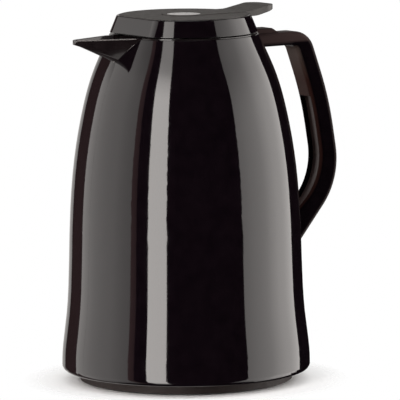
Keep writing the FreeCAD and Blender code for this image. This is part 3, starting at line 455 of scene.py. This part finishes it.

# %% [markdown]
# ## The handle
# The handle is of the casing's plastic. Its top arm is painted brown, a painted
# reflection of brown light, and its inner face is painted brown and palest under
# the arm, as painted light; both are made duller. Its sides lean a little towards
# the spout, so they mirror another part of the studio than a square side would.
# A bump that rises along the jug gives that lean.


# %% Handle finish
ARM_RISE = (0.2264, 0.2280)          # heights between which the painted brown reflection on the arm sets in
CORNER_SLOPE = 0.84                  # of the slanting line at the corner where it ends
CORNER_RISE = (0.1408, 0.1433)       # heights of that line at the axis, from black to brown
INNER_TURN = (-0.85, -0.35)          # how far a surface faces the jug, from painted brown to plain
INNER_LIGHT_RISE = (0.200, 0.218)           # heights over which the inner face's painted light grows paler
# painted reflection on the arm, and painted light on the inner face from dark to pale
ARM_REFLECTION_TONE = (0.027, 0.0170, 0.0168)
INNER_LIGHT_TONES = ((0.046, 0.018, 0.0145), (0.093, 0.067, 0.058))
WORN_DULLING = 0.26
HANDLE_LEAN = 0.18                   # slope of the sides


def handle_gloss(name, lean):
    """The handle's gloss: sides that lean towards the spout, a painted brown reflection on the arm and
    painted light on the inner face, both duller.
    """
    paint = Paint(name, IOR=1.5, Specular_IOR_Level=0.075, Specular_Tint=(1.0, 0.78, 0.72, 1))
    soft, _ = paint.soft_edges(0.8)
    axes = paint.node("SeparateXYZ", Vector=paint.place).outputs
    arm = paint.span(axes["Z"], 0.0, 1.0, *ARM_RISE)
    corner = paint.math("ADD", axes["Z"], paint.math("MULTIPLY", axes["X"], -CORNER_SLOPE))
    arm_reflection_and_dulling = paint.math("MULTIPLY", arm, paint.span(corner, 0.0, 1.0, *CORNER_RISE))
    facing = paint.node("SeparateXYZ", Vector=paint.node("TexCoord").outputs["Normal"]).outputs["X"]
    inner = paint.span(facing, 1.0, 0.0, *INNER_TURN)
    inner_painted_light = paint.tones(paint.span(axes["Z"], 0.0, 1.0, *INNER_LIGHT_RISE), *INNER_LIGHT_TONES)
    colour = paint.tones(paint.span(paint.noise(9.0), 0.0, 1.0), *GLOSS_TONES)
    # painted reflection: the arm's brown stands in for brown light that it mirrors
    colour = paint.tones(arm_reflection_and_dulling, colour, ARM_REFLECTION_TONE)
    # painted light: the inner face is brown, palest under the arm
    colour = paint.tones(inner, colour, inner_painted_light)
    dulled = paint.math("MULTIPLY", paint.math("MAXIMUM", arm_reflection_and_dulling, inner), WORN_DULLING)
    gloss = paint.math("ADD", paint.span(paint.noise(14.0), 0.05, 0.10), dulled)
    normal = paint.bump(axes["X"], 1000.0 * lean, under=soft)
    return paint.finish(colour, gloss, paint.bump(paint.noise(1.6), 0.0004, under=normal))

HANDLE = handle_gloss("gloss_handle", HANDLE_LEAN)
print("handle:", HANDLE.name)

# %% [markdown]
# ## The disc on the lid
# The disc in the lever is turned metal with a satin lacquer. Its fine rings are
# a wave texture about the disc's own centre, which the frame gives.


# %% Disc finish
WAVE_RATE = 20.0                     # radians that a wave texture turns per unit of length
DISC_TONES = ((0.58, 0.58, 0.575), (0.64, 0.64, 0.635))
DISC_RING_MM, DISC_DEPTH_MM, DISC_ROUGH = 1.1, 0.0015, (0.26, 0.34)


def spun_metal(name, centre, tones, ring_mm, depth_mm, rough, **sockets):
    """Turned metal: fine concentric rings about a centre, and a faint scatter of tone."""
    paint = Paint(name, **sockets)
    rings = paint.tree.nodes.new("ShaderNodeTexWave")
    rings.wave_type = "RINGS"
    rings.rings_direction = "Z"
    centred = paint.vectors("SUBTRACT", paint.place, centre).outputs["Vector"]
    paint.join(rings.inputs["Vector"], centred)
    paint.join(rings.inputs["Scale"], 2 * math.pi * 1000.0 / (WAVE_RATE * ring_mm))
    colour = paint.tones(paint.span(paint.noise(6.0), 0.0, 1.0), *tones)
    normal = paint.bump(rings.outputs["Fac"], depth_mm)
    return paint.finish(colour, paint.span(paint.noise(5.0), *rough), normal)


DISC_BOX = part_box("lid_badge")
DISC_CENTRE = [(low + high) / 2 for low, high in zip(*DISC_BOX)]
BADGE = spun_metal(
    "badge_metal", DISC_CENTRE, DISC_TONES, DISC_RING_MM, DISC_DEPTH_MM, DISC_ROUGH, Metallic=0.5,
)
print("disc at", [round(v, 4) for v in DISC_CENTRE])

# %% [markdown]
# ## Every piece gets its finish
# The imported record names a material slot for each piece. One table turns the
# slots into finishes, and the handle's two pieces have their own.

# %% Finishes
FINISHES = {
    "gloss_shell": GLOSS,
    "gloss_collar": COLLAR,
    "satin_lid": SATIN,
    "base_plastic": BASE,
    "handle_lining": LINING,
    "badge_metal": BADGE,
    "flask_glass": SILVERED,
    "seal_rubber": RUBBER,
    "white_silicone": SILICONE,
    "stopper_plastic": STOPPER,
    "valve_plastic": VALVE,
    "steel": STEEL,
}
OWN = {"handle": HANDLE, "handle_thumb_rest": HANDLE}
for part in frame["record"]["subparts"]:
    node = NODES[part["node"]]
    node.data.materials.clear()
    node.data.materials.append(OWN.get(part["node"], FINISHES[part["material_slot"]]))
print("materials:", len(FINISHES))

# %% [markdown]
# ## The spout's lip and seam
# A pouring edge is not left sharp: the mould gives it a small round lip, which
# catches the light as a thin line from the lid to the tip. Where the spout comes
# through the casing a thin bead closes the seam. Both are painted paler than the
# plastic, a painted highlight for that thin line. Both are round bars along a
# path. They could also be made as bevelled curves, but a grid of points gives
# exact stations and ends that run out to nothing.


# %% Round bars
def round_bar(name, path, radius, sides=12):
    """A bar along a path: the point at station u and turn v lies one radius off, square to it."""
    stations = len(path)
    along = np.gradient(path, axis=0)
    along /= np.linalg.norm(along, axis=1, keepdims=True)
    across = np.cross(along, (0.0, 0.0, 1.0))
    across /= np.linalg.norm(across, axis=1, keepdims=True)
    over = np.cross(across, along)
    taper = radius * np.sqrt(1.0 - np.linspace(-1.0, 1.0, stations) ** 24)[:, None, None]
    turn = np.linspace(0.0, 2 * np.pi, sides, endpoint=False)[None, :, None]
    ring = np.cos(turn) * across[:, None] + np.sin(turn) * over[:, None]
    bar = sheet(name, path[:, None] + taper * ring, wrap=True)
    shape = bmesh.new()
    shape.from_mesh(bar.data)
    bmesh.ops.remove_doubles(shape, verts=shape.verts, dist=1e-7)
    bmesh.ops.recalc_face_normals(shape, faces=shape.faces)
    shape.to_mesh(bar.data)
    shape.free()
    return bar


def stations_on(corners, count, ease):
    """Evenly spaced stations on a line through corners, eased round them by a running mean."""
    steps = np.concatenate([[0.0], np.cumsum(np.linalg.norm(np.diff(corners, axis=0), axis=1))])
    at = np.linspace(0.0, steps[-1], count)
    line = np.stack([np.interp(at, steps, corners[:, axis]) for axis in range(3)], axis=-1)
    padded = np.pad(line, ((ease, ease), (0, 0)), mode="edge")
    return np.mean([padded[shift:shift + count] for shift in range(2 * ease + 1)], axis=0)


# %% Lip
RIM_Z = 0.238
LIP_R, LIP_SINK = 0.00042, 0.00024
half_lip = np.array((
    (-0.0500, 0.0172, RIM_Z),        # where the lid's edge stands over the rim
    (-0.0850, 0.0046, RIM_Z),        # the bend near the tip
    (-0.0894, 0.0024, RIM_Z),        # the tip's upper corner
    (-0.0905, 0.0000, 0.2350),       # the keel at the tip
))
sink_way = np.array((                # each corner moves inwards along these, to stand just proud
    (0, -1, -1),
    (0, -1, -1),
    (1, -1, -1),
    (1, 0, 0),
))
half_lip = half_lip + LIP_SINK * sink_way
lip_corners = np.concatenate([half_lip, half_lip[-2::-1] * (1, -1, 1)])
lip = round_bar("spout_lip", stations_on(lip_corners, 161, 2), LIP_R)
# painted highlight on the lip
lip.data.materials.append(EDGE_HIGHLIGHT)
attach(lip, "jug")
print("spout lip:", len(lip.data.polygons), "faces")

# %% [markdown]
# The seam is found rather than drawn. The spout is a rounded V that narrows
# towards its tip, and the casing is turned, so its radius depends on height
# alone. For a spread of distances from the middle plane, the height on the V and
# the radius at that height are worked out in turn until they agree.

# %% Seam
ROOT = np.array((0.0400, 0.0208, 0.0303))    # reach, half width and depth at the root
BEND = np.array((0.0850, 0.0046, 0.0060))    # the same at the bend
KEEL_ROUND, SEAM_HALF, SEAM_R = 0.00295, 0.0145, 0.00036
casing = NODES["outer_casing"]
hits = BVHTree.FromObject(casing, bpy.context.evaluated_depsgraph_get())
to_node = casing.matrix_world.inverted()


def casing_radius(z):
    """The casing's outer radius at a height: where a level line from the side first meets it."""
    start = to_node @ Vector((0, 0.3, z))
    way = to_node.to_3x3() @ Vector((0, -1, 0))
    return (casing.matrix_world @ hits.ray_cast(start, way)[0]).y


heights = np.linspace(0.205, 0.2371, 24)
wall = np.array([casing_radius(z) for z in heights])
across = np.linspace(-SEAM_HALF, SEAM_HALF, 81)
reach = np.full(across.shape, 0.057)
for _ in range(40):
    share = (reach - ROOT[0]) / (BEND[0] - ROOT[0])
    half_width, depth = ROOT[1:, None] + share * (BEND - ROOT)[1:, None]
    down = depth * (1 - np.hypot(across, KEEL_ROUND) / half_width)
    rise = np.minimum(RIM_Z - down, heights[-1])
    reach = np.sqrt(np.interp(rise, heights, wall) ** 2 - across ** 2)
seam = round_bar("spout_seam", np.stack([-reach, across, rise], axis=-1), SEAM_R)
# painted highlight on the seam
seam.data.materials.append(EDGE_HIGHLIGHT)
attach(seam, "jug")
print("spout seam from z", round(float(rise.min()), 4), "to", round(float(rise.max()), 4))

# %% [markdown]
# ## The valve's spring
# A coil of steel wire presses the valve shut, and it gets shorter when the lever
# lifts the valve. The CAD coil keeps one length, and is hidden; a coil of the same
# wire takes its place: a round bar along a helix, of one length too, which moves
# with the closure.

# %% Spring
COIL_R, WIRE_R, COIL_TURNS = 0.0070, 0.0007, 7
coil_low, coil_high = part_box("valve_spring")
turned = np.linspace(0.0, 2 * np.pi * COIL_TURNS, 48 * COIL_TURNS + 1)
climbed = np.linspace(coil_low[2] + WIRE_R, coil_high[2] - WIRE_R, len(turned))
helix = np.stack([COIL_R * np.cos(turned), COIL_R * np.sin(turned), climbed], axis=-1)
coil = round_bar("valve_coil", helix, WIRE_R)
coil.data.materials.append(STEEL)
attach(coil, "closure")
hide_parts("valve_spring")
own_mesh(coil)

# %% [markdown]
# ## The floor
# A pale round floor carries the jug's soft shadow and fades out into the white
# backdrop, so that no edge of it shows. It is one polar surface: rings of
# growing radius, each a full turn.


# %% Floor
def polar_floor(name, reach, rings, spokes):
    """A flat disc: the radius of ring u is reach times u squared, and spoke v is a turn round the axis."""
    radius = reach * np.linspace(0.02, 1.0, rings)[:, None] ** 2
    turn = np.linspace(0.0, 2 * np.pi, spokes, endpoint=False)[None, :]
    level = np.full((rings, spokes), -0.0004)
    points = np.stack([radius * np.cos(turn), radius * np.sin(turn), level], axis=-1)
    return sheet(name, points, wrap=True)


FLOOR_REACH = 0.9
FLOOR_TONES = ((0.95, 0.95, 0.95), (0.97, 0.97, 0.97))
FLOOR_SOLID_R, FLOOR_GONE_R = 0.072, 0.112    # where the floor starts and ends to fade
floor = polar_floor("floor", FLOOR_REACH, 24, 96)
paper = Paint("floor_paper")
paper.finish(
    paper.tones(paper.span(paper.noise(30.0), 0.0, 1.0), *FLOOR_TONES),
    paper.span(paper.noise(8.0), 0.8, 0.95),
)
length = paper.tree.nodes.new("ShaderNodeVectorMath")
length.operation = "LENGTH"
paper.join(length.inputs[0], paper.place)
fade = paper.span(length.outputs["Value"], 1.0, 0.0, FLOOR_SOLID_R, FLOOR_GONE_R)
clear = paper.node("BsdfTransparent")
blend = paper.tree.nodes.new("ShaderNodeMixShader")
paper.join(blend.inputs[0], fade)
paper.join(blend.inputs[1], clear.outputs[0])
paper.join(blend.inputs[2], paper.shader.outputs[0])
paper.join(paper.tree.nodes["Material Output"].inputs["Surface"], blend.outputs[0])
floor.data.materials.append(paper.material)
floor.visible_glossy = False
print("floor vertices:", len(floor.data.vertices))
